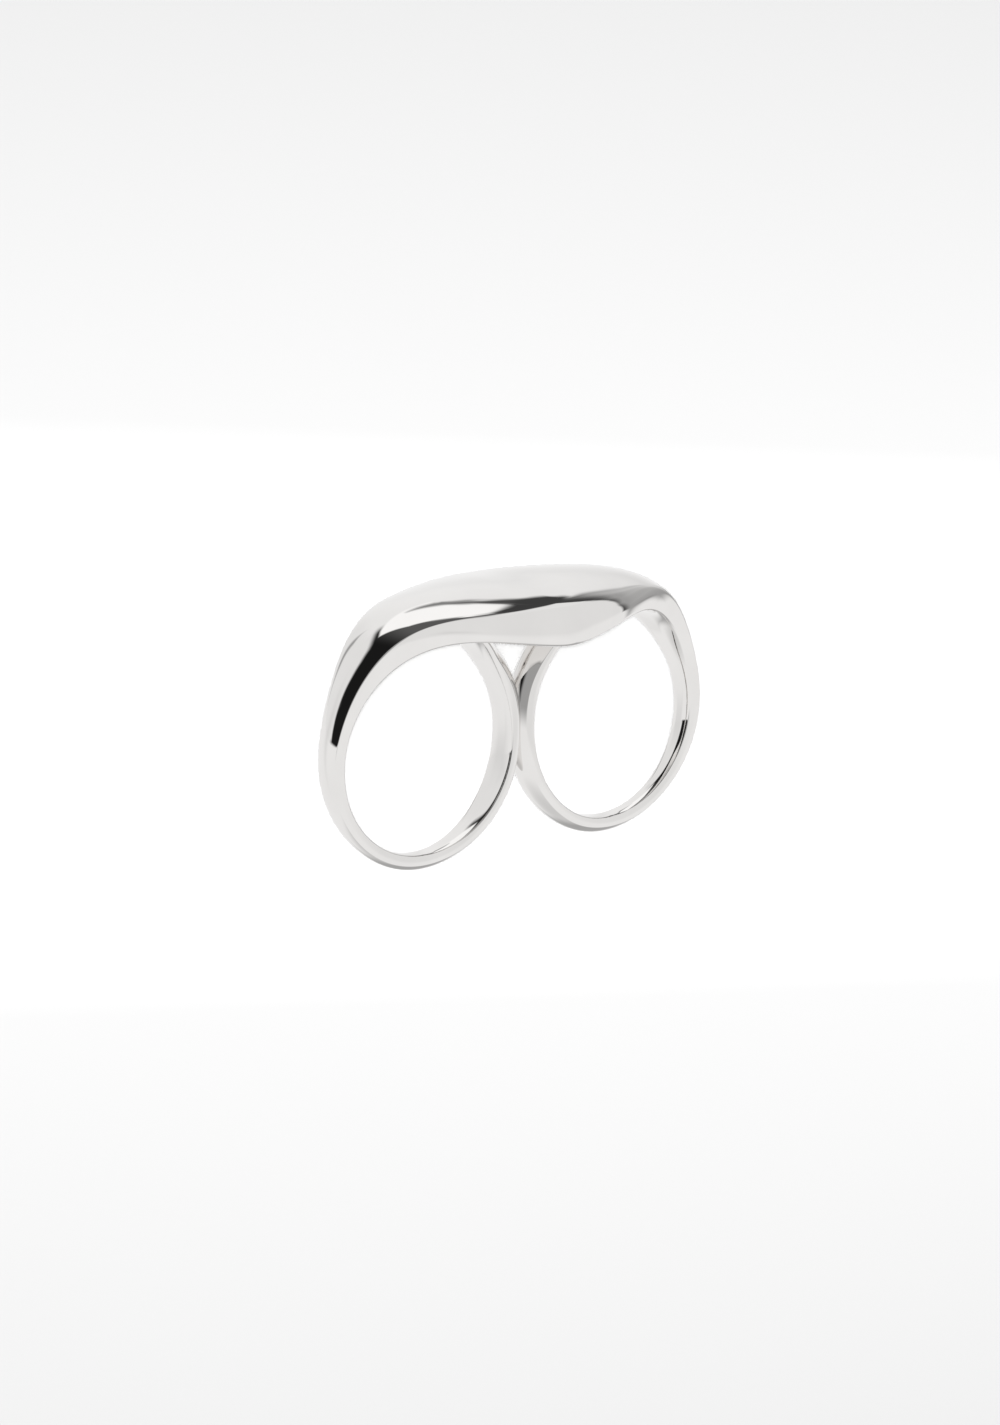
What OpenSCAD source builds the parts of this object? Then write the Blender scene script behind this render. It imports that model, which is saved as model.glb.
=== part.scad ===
// Double ring: two finger loops and the broad bridge across them, cast in one piece.
// Millimetres. The ring is worked out standing up: x runs across the two fingers,
// y from front to back along the fingers, z up from the loops to the bridge.
// It is then laid on its back, as it rests on a table.

/* [Finger loops] */
// Inside radius of the round lower part of each finger hole
hole_r = 8.75; // [8:0.05:10]
// Metal between the two finger holes where the loops join
wall_between = 3.15; // [2.8:0.05:3.6]
// Part of a quarter turn over which the straight bridge bends into a loop
bend = 0.6; // [0.4:0.05:0.8]

/* [Bridge] */
// Scale of the bridge's and the loops' width from front to back
width_scale = 1; // [0.8:0.05:1.2]

/* [Smoothness] */
// Sections between two rows of the section table
steps = 6; // [3:1:7]

/* [Hidden] */

// One row for each section along half of the ring, from the middle of the bridge
// over the outside of a loop to its foot, and back up between the two fingers.
// turn: 0 to 1 runs from the middle of the bridge to over the finger, then one for
//   each quarter turn round the finger, so 3 is the loop's foot
// crown: top of the section in its middle; ridge_w, ridge_up: the edge between the
//   top and the front face; low_w, low_up: the front face's lower edge;
//   in_w, in_up: the edge of the surface that lies on the finger
// The columns named _w are half widths. The others stand out from hole_r.
COLUMNS = ["turn", "crown", "ridge_w", "ridge_up", "low_w", "low_up", "in_w", "in_up"];
SECTIONS = [
    [0.00, 5.11, 7.52, 4.24, 8.62, 0.45, 6.00, 0.03],
    [0.25, 5.28, 6.98, 4.30, 8.09, 0.67, 5.60, 0.53],
    [0.50, 5.23, 6.45, 4.18, 7.50, 1.09, 5.05, 1.07],
    [0.75, 5.03, 5.79, 3.99, 6.58, 1.49, 4.35, 1.53],
    [1.00, 4.64, 4.76, 3.85, 5.17, 1.60, 3.31, 1.56],
    [1.25, 3.85, 3.15, 3.32, 3.19, 1.05, 1.81, 1.03],
    [1.50, 2.44, 1.89, 1.98, 1.92, 0.61, 1.11, -0.08],
    [1.75, 1.68, 1.37, 1.28, 1.37, 0.33, 0.82, -0.10],
    [2.00, 1.50, 1.10, 1.35, 1.11, 0.18, 0.51, -0.07],
    [2.50, 1.25, 0.81, 1.11, 0.83, 0.14, 0.35, 0.00],
    [3.00, 1.67, 0.73, 1.07, 0.74, 0.20, 0.37, 0.14],
    [3.50, 1.45, 1.43, 0.95, 1.44, 0.10, 0.44, 0.02],
    [4.00, 1.98, 1.19, 1.20, 1.45, 0.29, 0.73, 0.22],
    [4.25, 2.62, 1.18, 1.73, 1.34, 0.62, 0.68, 0.43],
    [4.50, 2.65, 1.43, 1.59, 1.59, 0.91, 0.92, 0.86],
    [4.65, 3.20, 2.06, 2.41, 2.22, 1.79, 1.48, 1.49],
    [4.85, 3.31, 2.74, 2.82, 3.03, 2.23, 2.35, 1.94],
    [5.00, 3.37, 3.13, 2.95, 3.43, 2.42, 2.85, 2.24]
];
FOOT_ROW = 10;
LAST_ROW = len(SECTIONS) - 1;
hole_half = hole_r + wall_between / 2;

function col(row, name) = row[search([name], COLUMNS)[0]];

// Weights of four neighbouring rows or points in a smooth cubic blend
function blend_weights(f) = [
    pow(1 - f, 3) / 6,
    (3 * pow(f, 3) - 6 * pow(f, 2) + 4) / 6,
    (-3 * pow(f, 3) + 3 * pow(f, 2) + 3 * f + 1) / 6,
    pow(f, 3) / 6
];

// Row i of the table, where rows before the first one mirror those after it
function table_row(i) =
    let (row = SECTIONS[min(abs(i), LAST_ROW)])
    i < 0 ? [for (k = [0 : len(row) - 1]) k == 0 ? -row[k] : row[k]] : row;

// The section at t, counted in rows, as one blended row
function section_at(t) =
    let (i = floor(t), w = blend_weights(t - i))
    w * [for (k = [-1 : 2]) table_row(i + k)];

// Control points of half a section, from the finger side round the front to the crown
function half_section(row) =
    let (
        crown = hole_r + col(row, "crown"),
        ridge_w = width_scale * col(row, "ridge_w"),
        ridge = hole_r + col(row, "ridge_up"),
        low_w = width_scale * col(row, "low_w"),
        low = hole_r + col(row, "low_up"),
        in_w = width_scale * col(row, "in_w"),
        inner = hole_r + col(row, "in_up"),
        face = ridge - low,
        face_w = low_w + 0.03 * face
    ) [
        [0, inner],
        [0.5 * in_w, inner],
        [in_w, inner],
        [low_w, low - 0.25 * (low - inner)],
        [low_w, low + 0.15 * face],
        [face_w, low + 0.55 * face],
        [ridge_w + 0.45 * (face_w - ridge_w), ridge - 0.08 * face],
        [ridge_w, ridge],
        [0.72 * ridge_w, ridge + 0.5 * (crown - ridge)],
        [0.36 * ridge_w, ridge + 0.88 * (crown - ridge)],
        [0, crown]
    ];

// The smooth closed outline of the section, as [front to back, outwards] points
function section_outline(row) =
    let (
        half = half_section(row),
        last = len(half) - 1,
        loop = concat(
            [for (p = half) [-p[0], p[1]]],
            [for (k = [last - 1 : -1 : 1]) half[k]]),
        n = len(loop)
    ) [for (k = [0 : n - 1]) (loop[(k + n - 1) % n] + 4 * loop[k] + loop[(k + 1) % n]) / 6];

// Where the section stands: how far out from the middle, and its angle round the finger
function bend_part(turn) = min(max((turn - (1 - bend / 2)) / bend, 0), 1);
function bent(part) = bend * (pow(part, 3) - pow(part, 4) / 2);
function reach(turn) =
    let (part = bend_part(turn))
    part >= 1 ? hole_half
    : part <= 0 ? hole_half * turn
    : hole_half * (1 - bend / 2 + bend * part - bent(part));
function angle(turn) =
    let (part = bend_part(turn))
    90 * (1 - (part >= 1 ? turn - 1 : bent(part)));

// The points of the section at t, which is negative on the left half
function section_points(t) =
    let (
        row = section_at(abs(t)),
        side = t < 0 ? -1 : 1,
        turn = col(row, "turn"),
        x0 = reach(turn),
        a = angle(turn)
    ) [for (p = section_outline(row)) [side * (x0 + p[1] * cos(a)), p[0], p[1] * sin(a)]];

function path(t0, t1) = [for (k = [0 : (t1 - t0) * steps]) section_points(t0 + k / steps)];

over_path = path(-FOOT_ROW, FOOT_ROW);
between_path = path(FOOT_ROW, LAST_ROW);

// The lean at which the back of the bridge and the feet of the loops touch the table
function lowest(points, a) = min([for (p = points) p.z * sin(a) - p.y * cos(a)]);
function rest_lean(bridge, foot, a0, a1, rounds) =
    let (a = (a0 + a1) / 2)
    rounds == 0 ? a
    : lowest(bridge, a) < lowest(foot, a) ? rest_lean(bridge, foot, a, a1, rounds - 1)
    : rest_lean(bridge, foot, a0, a, rounds - 1);
lean = rest_lean(section_points(0), section_points(FOOT_ROW), 0, 45, 24);

// The ring's extent once it lies down, which puts its middle over the origin
laid = [
    for (ring = concat(over_path, between_path)) for (p = ring)
    [p.z * cos(lean) + p.y * sin(lean), p.z * sin(lean) - p.y * cos(lean)]
];
laid_y = [for (p = laid) p[0]];
laid_z = [for (p = laid) p[1]];

// A closed solid through a row of sections
module sweep(sections) {
    n = len(sections[0]);
    m = len(sections);
    polyhedron(
        points = [for (s = sections) each s],
        faces = concat(
            [for (i = [0 : m - 2]) for (k = [0 : n - 1])
                [i * n + k, i * n + (k + 1) % n, (i + 1) * n + (k + 1) % n]],
            [for (i = [0 : m - 2]) for (k = [0 : n - 1])
                [i * n + k, (i + 1) * n + (k + 1) % n, (i + 1) * n + k]],
            [[for (k = [n - 1 : -1 : 0]) k]],
            [[for (k = [0 : n - 1]) (m - 1) * n + k]]));
}

module bridge_and_outer_loops() {
    sweep(over_path);
}

module inner_loop() {
    sweep(between_path);
}

module double_ring() {
    color([0.83, 0.83, 0.82])
    translate([0, -(min(laid_y) + max(laid_y)) / 2, -min(laid_z)])
    rotate([lean - 90, 0, 0])
    union() {
        bridge_and_outer_loops();
        inner_loop();
        mirror([1, 0, 0]) inner_loop();
    }
}

double_ring();
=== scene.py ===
import math

import bpy
import numpy as np
from mathutils import Matrix, Vector


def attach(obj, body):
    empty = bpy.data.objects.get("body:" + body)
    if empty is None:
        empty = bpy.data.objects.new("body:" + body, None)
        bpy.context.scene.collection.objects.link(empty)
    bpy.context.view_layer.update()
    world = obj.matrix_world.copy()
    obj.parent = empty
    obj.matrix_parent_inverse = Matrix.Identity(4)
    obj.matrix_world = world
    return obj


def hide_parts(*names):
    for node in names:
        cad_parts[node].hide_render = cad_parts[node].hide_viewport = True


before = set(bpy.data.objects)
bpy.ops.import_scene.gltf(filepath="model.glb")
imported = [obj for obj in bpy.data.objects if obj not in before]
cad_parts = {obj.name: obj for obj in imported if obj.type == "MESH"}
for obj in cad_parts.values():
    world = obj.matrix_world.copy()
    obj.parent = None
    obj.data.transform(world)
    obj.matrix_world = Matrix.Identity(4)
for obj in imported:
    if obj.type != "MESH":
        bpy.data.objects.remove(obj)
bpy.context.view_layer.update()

# Sizes in millimetres, the same as in the part's source
HOLE_R = 8.75
WALL_BETWEEN = 3.15
BEND = 0.6
HOLE_HALF = HOLE_R + WALL_BETWEEN / 2
MM = 0.001

# Smoothness of the finished surface: sections for each row of the table,
# and points for each control point of a section
SECTIONS_PER_ROW = 24
POINTS_PER_SPAN = 5

# Sections for each row in the part's own solid, and halvings that find its lean
SOLID_STEPS = 6
LEAN_ROUNDS = 24

# Half of the ring, from the middle of the bridge over a loop's outside to its
# foot and back up between the fingers. Columns: turn, crown, ridge_w, ridge_up,
# low_w, low_up, in_w, in_up. The columns named _w are half widths, the others
# after turn stand out from HOLE_R.
SECTIONS = np.array([
    [0.00, 5.11, 7.52, 4.24, 8.62, 0.45, 6.00, 0.03],
    [0.25, 5.28, 6.98, 4.30, 8.09, 0.67, 5.60, 0.53],
    [0.50, 5.23, 6.45, 4.18, 7.50, 1.09, 5.05, 1.07],
    [0.75, 5.03, 5.79, 3.99, 6.58, 1.49, 4.35, 1.53],
    [1.00, 4.64, 4.76, 3.85, 5.17, 1.60, 3.31, 1.56],
    [1.25, 3.85, 3.15, 3.32, 3.19, 1.05, 1.81, 1.03],
    [1.50, 2.44, 1.89, 1.98, 1.92, 0.61, 1.11, -0.08],
    [1.75, 1.68, 1.37, 1.28, 1.37, 0.33, 0.82, -0.10],
    [2.00, 1.50, 1.10, 1.35, 1.11, 0.18, 0.51, -0.07],
    [2.50, 1.25, 0.81, 1.11, 0.83, 0.14, 0.35, 0.00],
    [3.00, 1.67, 0.73, 1.07, 0.74, 0.20, 0.37, 0.14],
    [3.50, 1.45, 1.43, 0.95, 1.44, 0.10, 0.44, 0.02],
    [4.00, 1.98, 1.19, 1.20, 1.45, 0.29, 0.73, 0.22],
    [4.25, 2.62, 1.18, 1.73, 1.34, 0.62, 0.68, 0.43],
    [4.50, 2.65, 1.43, 1.59, 1.59, 0.91, 0.92, 0.86],
    [4.65, 3.20, 2.06, 2.41, 2.22, 1.79, 1.48, 1.49],
    [4.85, 3.31, 2.74, 2.82, 3.03, 2.23, 2.35, 1.94],
    [5.00, 3.37, 3.13, 2.95, 3.43, 2.42, 2.85, 2.24],
])
FOOT_ROW = 10
LAST_ROW = len(SECTIONS) - 1


def blend_weights(f):
    """Weights of four neighbouring rows or points in a smooth cubic blend."""
    return np.array([
        (1 - f) ** 3 / 6,
        (3 * f ** 3 - 6 * f ** 2 + 4) / 6,
        (-3 * f ** 3 + 3 * f ** 2 + 3 * f + 1) / 6,
        f ** 3 / 6,
    ])


def table_row(i):
    """Row i of the table, where rows before the first one mirror those after it."""
    row = SECTIONS[min(abs(i), LAST_ROW)].copy()
    if i < 0:
        row[0] = -row[0]
    return row


def section_at(t):
    """The section at t, counted in rows, as one blended row."""
    i = math.floor(t)
    rows = np.array([table_row(i + k) for k in (-1, 0, 1, 2)])
    return blend_weights(t - i) @ rows


def half_section(row):
    """Control points from the finger side round the front to the crown."""
    turn, crown, ridge_w, ridge, low_w, low, in_w, inner = row
    crown, ridge, low, inner = (HOLE_R + v for v in (crown, ridge, low, inner))
    face = ridge - low
    face_w = low_w + 0.03 * face
    return np.array([
        [0, inner],
        [0.5 * in_w, inner],
        [in_w, inner],
        [low_w, low - 0.25 * (low - inner)],
        [low_w, low + 0.15 * face],
        [face_w, low + 0.55 * face],
        [ridge_w + 0.45 * (face_w - ridge_w), ridge - 0.08 * face],
        [ridge_w, ridge],
        [0.72 * ridge_w, ridge + 0.5 * (crown - ridge)],
        [0.36 * ridge_w, ridge + 0.88 * (crown - ridge)],
        [0, crown],
    ])


def section_outline(row, per_span):
    """The smooth closed outline of a section, as (front to back, outwards)."""
    half = half_section(row)
    front = half * [-1, 1]
    loop = np.concatenate([front, half[-2:0:-1]])
    before, here, after, next_one = (np.roll(loop, k, axis=0) for k in (1, 0, -1, -2))
    spans = [
        np.tensordot(blend_weights(k / per_span), np.stack([before, here, after, next_one]), 1)
        for k in range(per_span)
    ]
    return np.stack(spans, axis=1).reshape(-1, 2)


def bent(part):
    return BEND * (part ** 3 - part ** 4 / 2)


def section_points(t, per_span):
    """Points of the section at t, counted in rows, negative on the left half."""
    row = section_at(abs(t))
    side = -1 if t < 0 else 1
    turn = row[0]
    part = min(max((turn - (1 - BEND / 2)) / BEND, 0), 1)
    if part >= 1:
        out, quarter = HOLE_HALF, turn - 1
    elif part <= 0:
        out, quarter = HOLE_HALF * turn, 0
    else:
        out, quarter = HOLE_HALF * (1 - BEND / 2 + BEND * part - bent(part)), bent(part)
    a = math.radians(90 * (1 - quarter))
    p = section_outline(row, per_span)
    return np.stack([side * (out + p[:, 1] * math.cos(a)), p[:, 0], p[:, 1] * math.sin(a)], axis=1)


def lowest(points, lean):
    return (points[:, 2] * math.sin(lean) - points[:, 1] * math.cos(lean)).min()


def rest_lean():
    """The lean at which the bridge's back and the loops' feet touch the floor."""
    bridge = section_points(0, 1)
    foot = section_points(FOOT_ROW, 1)
    low, high = 0, math.radians(45)
    for _ in range(LEAN_ROUNDS):
        lean = (low + high) / 2
        if lowest(bridge, lean) < lowest(foot, lean):
            low = lean
        else:
            high = lean
    return (low + high) / 2


LEAN = rest_lean()
TURN = np.array([
    [1, 0, 0],
    [0, math.sin(LEAN), math.cos(LEAN)],
    [0, -math.cos(LEAN), math.sin(LEAN)],
])


def laid(points):
    """Standing ring's directions or points, turned to the way it lies."""
    return np.asarray(points) @ TURN.T


# The standing ring's origin, once its box stands centred over the floor's origin
coarse = laid(np.concatenate([
    section_points(k / SOLID_STEPS, 1)
    for k in range(-SOLID_STEPS * LAST_ROW, SOLID_STEPS * LAST_ROW + 1)
]))
ORIGIN = np.array([
    0,
    -(coarse[:, 1].min() + coarse[:, 1].max()) / 2,
    -coarse[:, 2].min(),
])


def tube_mesh(name, sections):
    """A closed smooth tube through equal rings of points, capped at both ends."""
    rings, around = sections.shape[:2]
    points = sections.reshape(-1, 3)
    faces = [
        (i * around + k, i * around + (k + 1) % around,
         (i + 1) * around + (k + 1) % around, (i + 1) * around + k)
        for i in range(rings - 1) for k in range(around)
    ]
    faces.append(tuple(range(around - 1, -1, -1)))
    faces.append(tuple((rings - 1) * around + k for k in range(around)))
    mesh = bpy.data.meshes.new(name)
    mesh.from_pydata(points.tolist(), [], faces)
    mesh.update()
    mesh.shade_smooth()
    return mesh


def new_object(name, mesh, material):
    piece = bpy.data.objects.new(name, mesh)
    bpy.context.scene.collection.objects.link(piece)
    mesh.materials.append(material)
    return piece


# Painted pool of light on the floor: direction across the floor in which its painted light changes,
# how far in metres it changes, and its greys as pairs of share of that distance and grey, painted
# darker away from the ring as light falls off. The painted light also rises along X, as the lamp
# beside the camera gives less light there.
LIGHT_POOL_WAY = (0.15, 0.973, 0)
LIGHT_POOL_REACH = 0.08
PAINTED_LIGHT_POOL_GREYS = [(0, 0.88), (0.22, 0.87), (0.31, 0.735), (1, 0.642)]
PAINTED_LIGHT_RISE = 0.137


def map_range(tree, low, high, to_low=0, to_high=1):
    node = tree.nodes.new("ShaderNodeMapRange")
    node.inputs["From Min"].default_value = low
    node.inputs["From Max"].default_value = high
    node.inputs["To Min"].default_value = to_low
    node.inputs["To Max"].default_value = to_high
    return node


def noise(tree, scale, detail):
    node = tree.nodes.new("ShaderNodeTexNoise")
    node.inputs["Scale"].default_value = scale
    node.inputs["Detail"].default_value = detail
    return node


def silver():
    """Polished silver: mirror finish with faint waviness and fine polishing haze."""
    mat = bpy.data.materials.new("polished_silver")
    mat.use_nodes = True
    tree = mat.node_tree
    shader = tree.nodes["Principled BSDF"]
    shader.inputs["Metallic"].default_value = 1
    place = tree.nodes.new("ShaderNodeTexCoord")

    haze = noise(tree, 260, 6)
    rough = map_range(tree, 0.3, 0.7, 0.01, 0.03)
    tone = tree.nodes.new("ShaderNodeValToRGB")
    tone.color_ramp.elements[0].position = 0.3
    tone.color_ramp.elements[0].color = (0.834, 0.82, 0.807, 1)
    tone.color_ramp.elements[1].position = 0.7
    tone.color_ramp.elements[1].color = (0.869, 0.855, 0.841, 1)

    waves = noise(tree, 210, 1)
    bump = tree.nodes.new("ShaderNodeBump")
    bump.inputs["Strength"].default_value = 1
    bump.inputs["Distance"].default_value = 0.000004

    link = tree.links.new
    link(place.outputs["Object"], haze.inputs["Vector"])
    link(place.outputs["Object"], waves.inputs["Vector"])
    link(haze.outputs["Fac"], rough.inputs["Value"])
    link(rough.outputs["Result"], shader.inputs["Roughness"])
    link(haze.outputs["Fac"], tone.inputs["Fac"])
    link(tone.outputs["Color"], shader.inputs["Base Color"])
    link(waves.outputs["Fac"], bump.inputs["Height"])
    link(bump.outputs["Normal"], shader.inputs["Normal"])
    return mat


def floor_with_painted_light():
    """Matt white sheet with a painted pool of light: its colour is painted greyer far in front of the
    ring and far behind it, as light falls off, and painted brighter along X where the lamp beside the
    camera gives less light.
    """
    mat = bpy.data.materials.new("floor_with_painted_light")
    mat.use_nodes = True
    tree = mat.node_tree
    shader = tree.nodes["Principled BSDF"]
    shader.inputs["Roughness"].default_value = 0.9
    shader.inputs["Specular IOR Level"].default_value = 0
    place = tree.nodes.new("ShaderNodeTexCoord")
    across = tree.nodes.new("ShaderNodeVectorMath")
    across.operation = "DOT_PRODUCT"
    across.inputs[1].default_value = LIGHT_POOL_WAY
    far = tree.nodes.new("ShaderNodeMath")
    far.operation = "ABSOLUTE"
    share = map_range(tree, 0, LIGHT_POOL_REACH)
    # Painted light: the floor's colour is painted darker with distance from the ring, a pool of light
    # standing in for light falling off.
    tone = tree.nodes.new("ShaderNodeValToRGB")
    stops = tone.color_ramp.elements
    while len(stops) < len(PAINTED_LIGHT_POOL_GREYS):
        stops.new(0.5)
    for stop, (part_way, grey) in zip(stops, PAINTED_LIGHT_POOL_GREYS):
        stop.position = part_way
        stop.color = (grey, grey, grey, 1)
    # Painted light: the colour is painted brighter along X, where the lamp beside the camera gives
    # less light.
    along = tree.nodes.new("ShaderNodeSeparateXYZ")
    painted_light_rise = map_range(tree, -LIGHT_POOL_REACH, LIGHT_POOL_REACH, 1 - PAINTED_LIGHT_RISE, 1 + PAINTED_LIGHT_RISE)
    final = tree.nodes.new("ShaderNodeVectorMath")
    final.operation = "SCALE"
    link = tree.links.new
    link(place.outputs["Object"], across.inputs[0])
    link(across.outputs["Value"], far.inputs[0])
    link(far.outputs["Value"], share.inputs["Value"])
    link(share.outputs["Result"], tone.inputs["Fac"])
    link(place.outputs["Object"], along.inputs["Vector"])
    link(along.outputs["X"], painted_light_rise.inputs["Value"])
    link(tone.outputs["Color"], final.inputs[0])
    link(painted_light_rise.outputs["Result"], final.inputs["Scale"])
    link(final.outputs["Vector"], shader.inputs["Base Color"])
    return mat


silver_mat = silver()
for slot in bpy.data.objects["double_ring"].material_slots:
    slot.material = silver_mat

# The ring, as one unbroken tube over the bridge and round both loops
count = LAST_ROW * SECTIONS_PER_ROW
sections = np.array([
    laid(section_points(k / SECTIONS_PER_ROW, POINTS_PER_SPAN)) + ORIGIN
    for k in range(-count, count + 1)
]) * MM
ring = new_object("ring_casting", tube_mesh("ring_casting", sections), silver_mat)
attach(ring, "root")
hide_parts("double_ring")

# Floor, FLOOR_HALF metres from its middle to each side
FLOOR_HALF = 6
floor_corners = [(x * FLOOR_HALF, y * FLOOR_HALF, 0) for x, y in ((-1, -1), (1, -1), (1, 1), (-1, 1))]
floor_mesh = bpy.data.meshes.new("floor")
floor_mesh.from_pydata(floor_corners, [], [(0, 1, 2, 3)])
# Floor with a pool of light painted into its colour.
floor = new_object("floor", floor_mesh, floor_with_painted_light())
floor.visible_glossy = False


# Camera: degrees from the standing ring's front and above its feet, distance
# in millimetres from the point midway between the finger holes
AZIMUTH, ELEVATION, DISTANCE = 39.3, 13.75, 505.24
az, el = math.radians(AZIMUTH), math.radians(ELEVATION)
back = np.array([-math.sin(az) * math.cos(el), -math.cos(az) * math.cos(el), math.sin(el)])
right = np.array([math.cos(az), -math.sin(az), 0])
up = np.cross(back, right)
axes = [laid(v) for v in (right, up, back)]
camera_place = (laid(back * DISTANCE) + ORIGIN) * MM
camera = bpy.data.objects.new("camera", bpy.data.cameras.new("camera"))
bpy.context.scene.collection.objects.link(camera)
camera.matrix_world = Matrix([
    [axes[0][k], axes[1][k], axes[2][k], camera_place[k]] for k in range(3)
] + [[0, 0, 0, 1]])
camera.data.sensor_fit = "HORIZONTAL"
camera.data.sensor_width = 36
camera.data.lens = 210.44
camera.data.shift_x = -0.01338
camera.data.shift_y = 0.02144
camera.data.clip_start = 0.01
camera.data.clip_end = 50
bpy.context.scene.camera = camera


# Studio
def direction(az_deg, el_deg):
    """Unit direction for an angle from the standing ring's front and a height."""
    a, e = math.radians(az_deg), math.radians(el_deg)
    return laid([math.sin(a) * math.cos(e), -math.cos(a) * math.cos(e), math.sin(e)])


def linear(grey):
    """Grey of 0 to 255 as the picture shows it, as an amount of light."""
    v = grey / 255
    return v / 12.92 if v <= 0.04045 else ((v + 0.055) / 1.055) ** 2.4


SILVER = 0.84
# Screens round the ring, far off, each laid over those before it. Columns: name, the
# grey it has in the silver, how soft its edge is in degrees, and its corners as
# angles round and up, or one height below which it lies.
SCREENS = [
    ["haze", 84, 12, [(106.5, 28.5), (173.5, 53), (-163, 55.5), (-42, 46), (-23, 14.5)]],
    ["left_wall", 221, 2.9, [(152, 30.5), (180, 42.5), (-155, 46.5), (-142.5, 44.5), (-132, 38.5),
                             (-126, 31.5), (-117.5, 10), (-113, -12.5), (-110, 6), (-133, -4.5),
                             (138, -9.5)]],
    ["front_low", 63, 4.9, [(-75, -8), (-64.5, -3.5), (-64, 23), (-23.5, 20.5), (3, 21.5),
                            (-0.5, -10), (-44.5, -2)]],
    ["below", 227, 1.2, 1.5],
    ["nadir", 196, 8, -64],
    ["far_floor", 162, 8, [(62, -44), (105, -38), (140, -38), (168, -46), (150, -72), (80, -72)]],
    ["left_low", 208, 12, [(-144.5, 0.5), (-138.5, 19.5), (-128, 15), (-137.5, -12.5)]],
    ["backdrop_foot", 25, 0.9, [(-110, 2.5), (-108, 18), (-49, 18), (-49, -2)]],
    ["camera_side", 152, 7, [(-12, -8), (-52, -8), (-52, 38), (-12, 38)]],
    ["back_wall", 228, 5.9, [(116, 12), (121, 66), (-168, 34.5), (147.5, -1.5), (134, -17.5)]],
    ["front_wall", 218, 3.6, [(-14, -14), (-16.5, -1.5), (-18, 7), (-22, 20.5), (-17.5, 35),
                              (6, 62.5), (59.5, 73), (89.5, 61), (91, 43.5), (76, -8.5)]],
    ["top_wall", 222, 1.3, [(41.5, 66.5), (133, 36), (111.5, 35.5), (92.5, 37.5), (83, 43.5),
                            (12.5, 58)]],
    ["side_edge", 63, 1.5, [(78.5, -9.5), (74, 6.5), (75.5, 23), (78.5, 30.5), (82, 34.5),
                            (102, 44.5), (131, 44.5), (144.5, 40.5), (130.5, 30), (126.5, 23.5),
                            (107.5, -13.5)]],
    ["side_screen", 153, 3.8, [(86.5, -16), (75, 9), (81, 29), (84.5, 31), (93, 37.5), (104, 37),
                               (135.5, 35.5), (128.5, 30), (131, 26.5), (116.5, -9.5)]],
    ["side_light", 210, 12, [(95.5, -0.5), (93.5, -1), (92, 15.5), (97.5, 21.5), (114, 29.5),
                             (118.5, 28), (152, 14), (125, -20)]],
    ["right_wall", 229, 12, [(124, 33.5), (133, 24), (155.5, 41), (164, 4), (102, 1)]],
    ["column", 59, 0.6, [(69, 70.5), (96.5, 69.5), (123, 70.5), (135, 39), (134.5, 29),
                         (124, 36.5), (113.5, 41.5), (88.5, 67.5)]],
    ["panel", 245, 1.2, [(124, 64.5), (134, 46), (146.5, 31.5), (178.5, 46), (-172.5, 47.5),
                         (-159, 50.5), (-167.5, 60.5), (178, 63), (136.5, 68.5)]],
    ["panel_tip", 254, 1.8, [(101, 73.5), (120, 66), (130, 57), (124, 70)]],
    ["notch_left", 76, 1.1, [(132.5, 44.5), (137, 43), (145, 36.5), (143.5, 35), (135.5, 42)]],
    ["notch_right", 128, 1.9, [(145, 34.5), (139, 38), (156.5, 42), (156.5, 41.5), (149.5, 37)]],
    ["stripe", 150, 2, [(-179.5, 29.5), (-174.5, 24.5), (-173.5, 12.5), (-177.5, 1)]],
]
# Grey of what lies behind all screens, and the plain light of the empty distance as
# the camera sees it and as the floor gets it
BACKDROP = 24
DISTANCE_LIGHT = 0.92
FLOOR_LIGHT = 0.3


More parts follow.
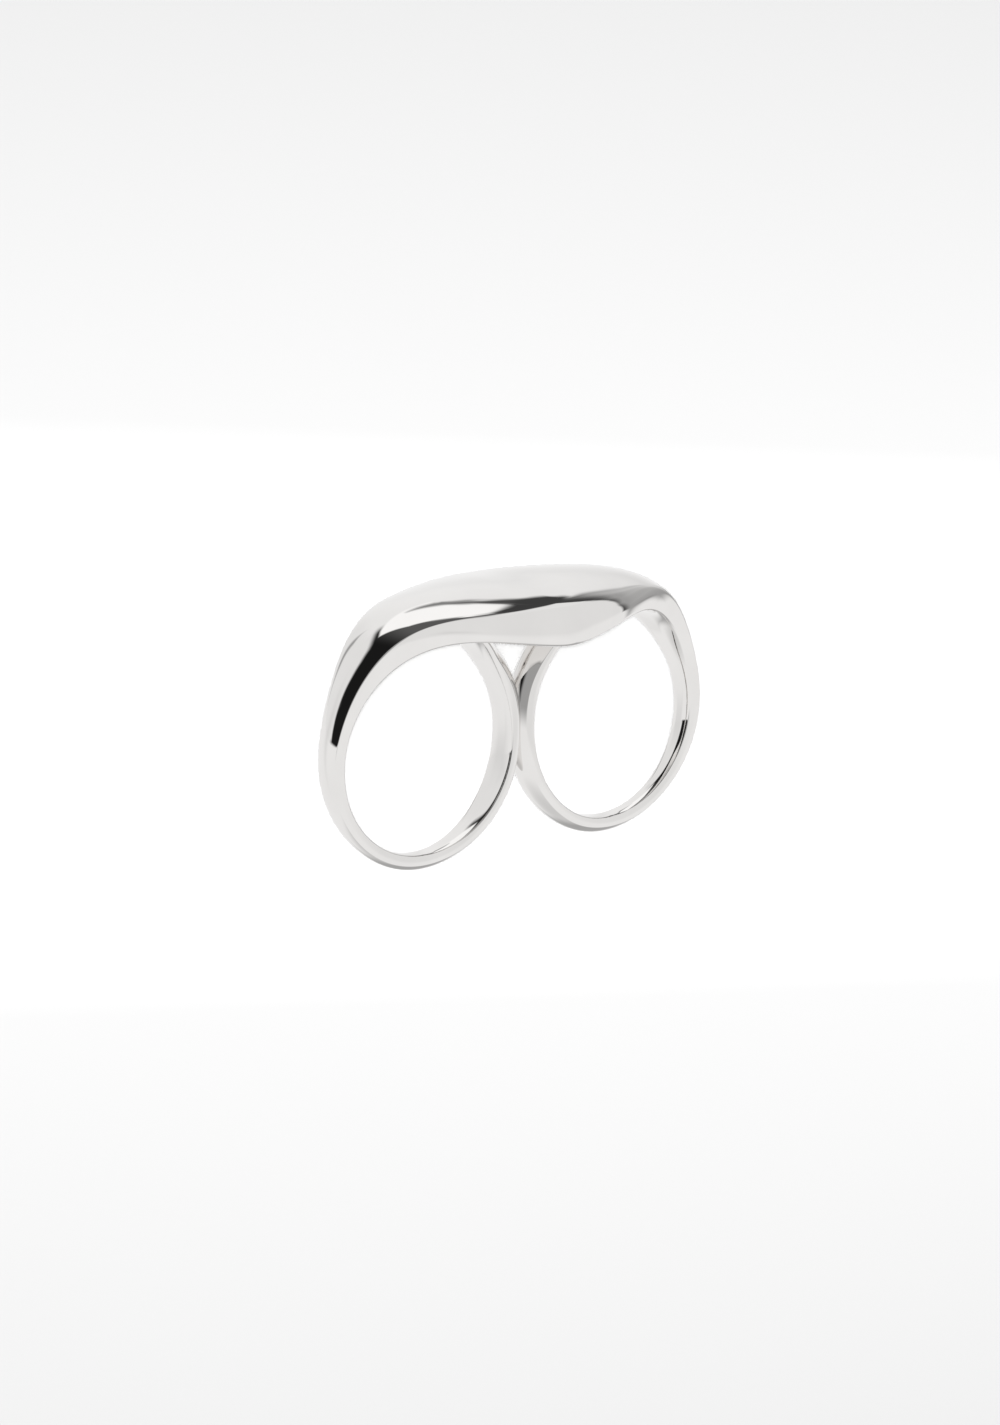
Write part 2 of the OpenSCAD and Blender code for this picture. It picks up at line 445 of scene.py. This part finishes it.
def studio():
    """World light: the metal mirrors the screens, all else gets a plain even light."""
    world = bpy.data.worlds.new("studio")
    bpy.context.scene.world = world
    world.use_nodes = True
    tree = world.node_tree
    tree.nodes.clear()
    link = tree.links.new

    def maths(operation, a, b):
        node = tree.nodes.new("ShaderNodeMath")
        node.operation = operation
        for socket, value in zip(node.inputs, (a, b)):
            if isinstance(value, (int, float)):
                socket.default_value = value
            else:
                link(value, socket)
        return node.outputs[0]

    coord = tree.nodes.new("ShaderNodeTexCoord")
    unit = tree.nodes.new("ShaderNodeVectorMath")
    unit.operation = "NORMALIZE"
    link(coord.outputs["Generated"], unit.inputs[0])
    look = unit.outputs[0]

    light = linear(BACKDROP) / SILVER
    for name, grey, soft, corners in SCREENS:
        if isinstance(corners, list):
            points = [direction(*c) for c in corners]
            middle = np.mean(points, axis=0)
            sides = [np.cross(p, q) for p, q in zip(points, points[1:] + points[:1])]
            sides = [v / np.linalg.norm(v) * np.sign(v @ middle) for v in sides]
            past = 0
        else:
            sides = [laid([0, 0, -1])]
            past = math.sin(math.radians(-corners))
        inside = None
        for side in sides:
            dot = tree.nodes.new("ShaderNodeVectorMath")
            dot.operation = "DOT_PRODUCT"
            dot.inputs[1].default_value = side
            link(look, dot.inputs[0])
            value = dot.outputs["Value"]
            inside = value if inside is None else maths("MINIMUM", inside, value)
        width = math.sin(math.radians(soft))
        edge = map_range(tree, past - width, past + width)
        edge.interpolation_type = "SMOOTHSTEP"
        link(inside, edge.inputs["Value"])
        mask = edge.outputs["Result"]
        brighter = maths("MULTIPLY", mask, linear(grey) / SILVER)
        light = maths("ADD", maths("MULTIPLY", maths("SUBTRACT", 1, mask), light), brighter)

    # The metal mirrors the screens. The floor and the empty distance get plain light.
    ray = tree.nodes.new("ShaderNodeLightPath")
    distance = maths("MULTIPLY", ray.outputs["Is Camera Ray"], DISTANCE_LIGHT)
    on_floor = maths("MULTIPLY", ray.outputs["Is Diffuse Ray"], FLOOR_LIGHT)
    plain = tree.nodes.new("ShaderNodeBackground")
    link(maths("ADD", distance, on_floor), plain.inputs["Color"])
    mirrored = tree.nodes.new("ShaderNodeBackground")
    link(light, mirrored.inputs["Color"])
    shade = tree.nodes.new("ShaderNodeMixShader")
    link(ray.outputs["Is Glossy Ray"], shade.inputs["Fac"])
    link(plain.outputs[0], shade.inputs[1])
    link(mirrored.outputs[0], shade.inputs[2])
    out = tree.nodes.new("ShaderNodeOutputWorld")
    link(shade.outputs[0], out.inputs["Surface"])
    world.cycles.sampling_method = "NONE"


studio()


def soft_light(name, place, size, energy):
    """Round light over the floor, aimed at the ring and unseen in the metal."""
    lamp = bpy.data.objects.new(name, bpy.data.lights.new(name, "AREA"))
    bpy.context.scene.collection.objects.link(lamp)
    lamp.data.shape = "DISK"
    lamp.data.size = size
    lamp.data.energy = energy
    lamp.location = Vector(place)
    lamp.rotation_euler = lamp.location.to_track_quat("Z", "Y").to_euler()
    lamp.visible_glossy = False
    lamp.visible_camera = False


# Metres from the ring to the key and the fill light
LAMP_DISTANCE = 6
soft_light("key", direction(-39.3, 14) * LAMP_DISTANCE, 1.2, 147)
soft_light("fill", direction(-20, 40) * LAMP_DISTANCE, 2.5, 48)
soft_light("beside_camera", camera_place, 0.012, 1.93)

bpy.context.scene.view_settings.view_transform = "Standard"
